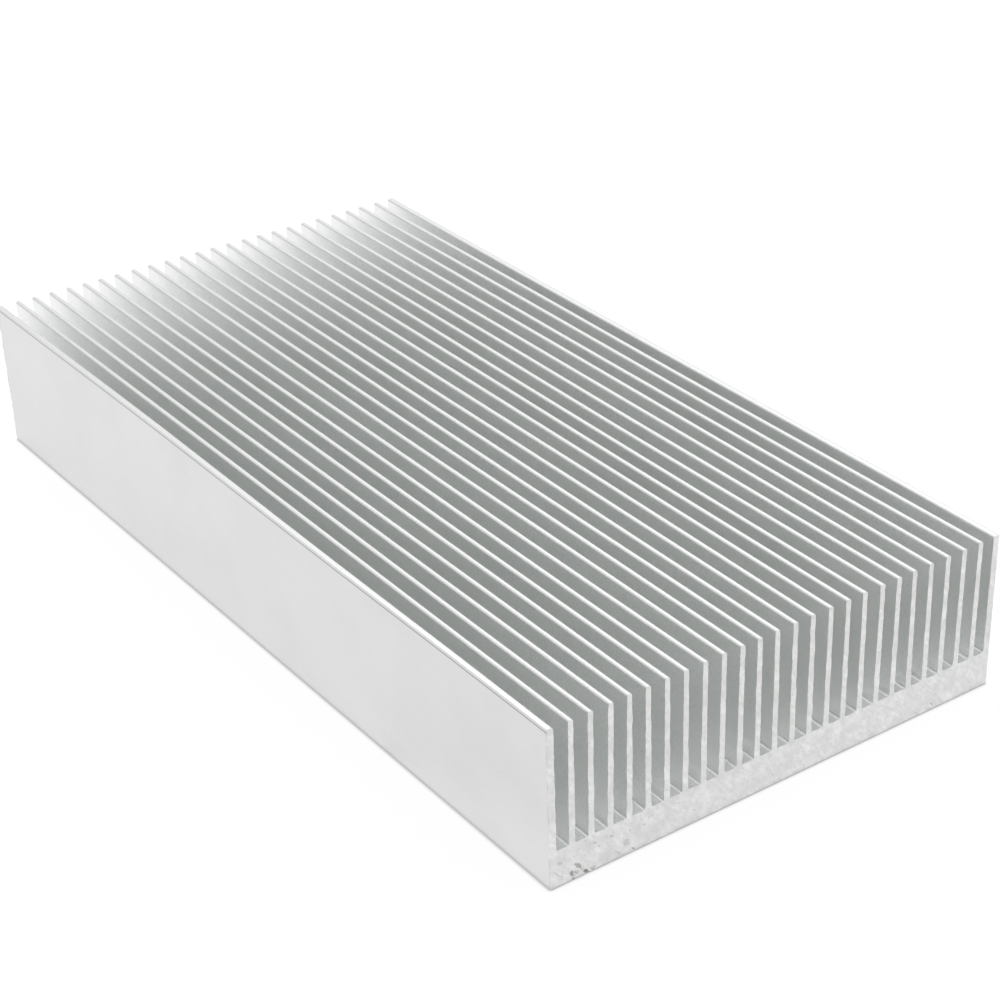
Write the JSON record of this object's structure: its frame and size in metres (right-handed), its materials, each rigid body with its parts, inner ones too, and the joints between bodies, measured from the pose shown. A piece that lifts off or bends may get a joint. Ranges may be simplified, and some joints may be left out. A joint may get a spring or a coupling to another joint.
{
  "type": "extruded heat sink",
  "caption": "Long extruded aluminium heat sink: a flat plate with a row of thin upright fins and sawn ends, mounted by its flat underside.",
  "frame": {"origin": "middle of the flat mounting face under the plate", "axes": "+X across the fins, +Y along the extrusion, +Z from the plate to the fin tips"},
  "size_m": [0.1, 0.2, 0.032],
  "materials": {
    "aluminium": "bare mill finish, satin, with sawn ends"
  },
  "bodies": {
    "root": {"heat_sink": "aluminium"}
  },
  "joints": []
}
